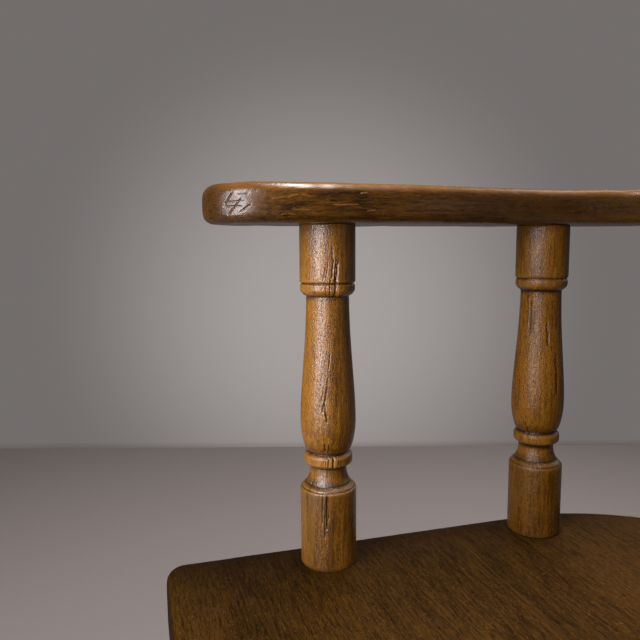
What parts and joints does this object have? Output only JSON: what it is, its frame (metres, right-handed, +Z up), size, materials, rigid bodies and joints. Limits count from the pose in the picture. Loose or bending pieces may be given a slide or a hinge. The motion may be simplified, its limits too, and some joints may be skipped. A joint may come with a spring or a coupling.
{
  "type": "swivel armchair",
  "caption": "Bare oak swivel armchair: plank seat, turned baluster posts, bow-shaped arm rail with paddle ends, low crest, turned pedestal on sabre legs.",
  "frame": {"origin": "floor level, on the swivel axis, which stands midway between the outermost points of the feet", "axes": "+Z up, the chair faces -Y, the sitter's right is -X"},
  "size_m": [0.524, 0.4504, 0.7754],
  "materials": {
    "oak": "old waxed oak, brown, worn paler on the edges and dark in the grooves",
    "dowel_beech": "plain fluted beech dowel",
    "screw_steel": "dulled slotted steel wood screw",
    "blackened_plate": "black japanned steel plate, rubbed",
    "cast_housing": "blackened cast iron",
    "turned_steel": "turned steel, greased",
    "bearing_steel": "ground bearing steel",
    "bronze": "machined bronze",
    "glide_nickel": "dulled nickel-plated glide"
  },
  "bodies": {
    "base": {"pedestal_column": "oak", "leg_front_left": "oak", "leg_front_right": "oak", "leg_rear_left": "oak", "leg_rear_right": "oak", "leg_dowels": "dowel_beech", "leg_tie_plate": "blackened_plate", "tie_plate_screws": "screw_steel", "foot_glides": "glide_nickel", "bearing_housing": "cast_housing", "housing_screws": "screw_steel", "upper_bush": "bronze", "lower_bush": "bronze", "lower_race": "bearing_steel"},
    "seat": {"seat_board_front": "oak", "seat_board_middle": "oak", "seat_board_rear": "oak", "seat_batten_left": "oak", "seat_batten_right": "oak", "batten_screws": "screw_steel", "arm_post_front_left": "oak", "arm_post_front_right": "oak", "arm_post_rear_left": "oak", "arm_post_rear_right": "oak", "back_post_outer_left": "oak", "back_post_outer_right": "oak", "back_post_inner_left": "oak", "back_post_inner_right": "oak", "arm_left": "oak", "arm_right": "oak", "arm_splice_dowels": "dowel_beech", "crest_rail": "oak", "crest_screws": "screw_steel", "swivel_top_plate": "blackened_plate", "top_plate_screws": "screw_steel", "pivot_shaft": "turned_steel", "upper_race": "bearing_steel", "thrust_washer": "turned_steel", "retaining_ring": "turned_steel"},
    "ball_cage": {"ball_cage": "bronze", "bearing_balls": "bearing_steel"}
  },
  "joints": [
    {"name": "swivel", "type": "hinge", "parent": "base", "child": "seat", "pos_m": [0, 0, 0.39], "axis": [0, 0, 1], "continuous": true},
    {"name": "cage_turn", "type": "hinge", "parent": "base", "child": "ball_cage", "pos_m": [0, 0, 0.39], "axis": [0, 0, 1], "continuous": true}
  ],
  "couplings": [
    {"joint": "cage_turn", "follows": "swivel", "ratio": 0.5}
  ]
}
